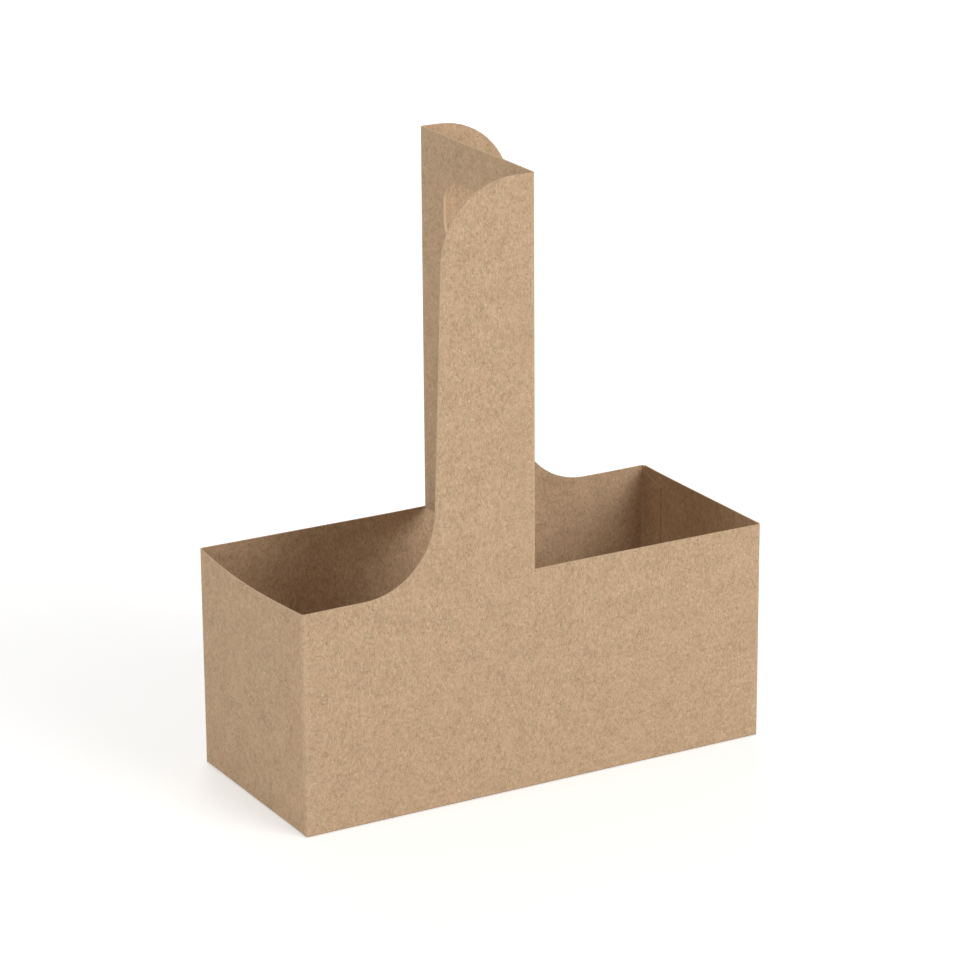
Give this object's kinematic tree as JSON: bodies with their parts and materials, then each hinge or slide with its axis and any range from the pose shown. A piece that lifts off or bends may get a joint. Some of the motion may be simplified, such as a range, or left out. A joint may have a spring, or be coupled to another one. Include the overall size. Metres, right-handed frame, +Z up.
{
  "type": "cardboard cup carrier",
  "caption": "Open-topped kraft board tray for takeaway cups, folded from one blank, with a tall Z-shaped handle whose cross web has a hand hole.",
  "frame": {"origin": "on the resting surface, under the middle of the outside box, in the plane of the handle's web", "axes": "+X along the long walls to the right as seen from the front, +Y from the front wall to the back wall, +Z up"},
  "size_m": [0.2092, 0.0884, 0.2482],
  "materials": {
    "kraft_board": "matte"
  },
  "bodies": {
    "root": {"carrier": "kraft_board"}
  },
  "joints": []
}
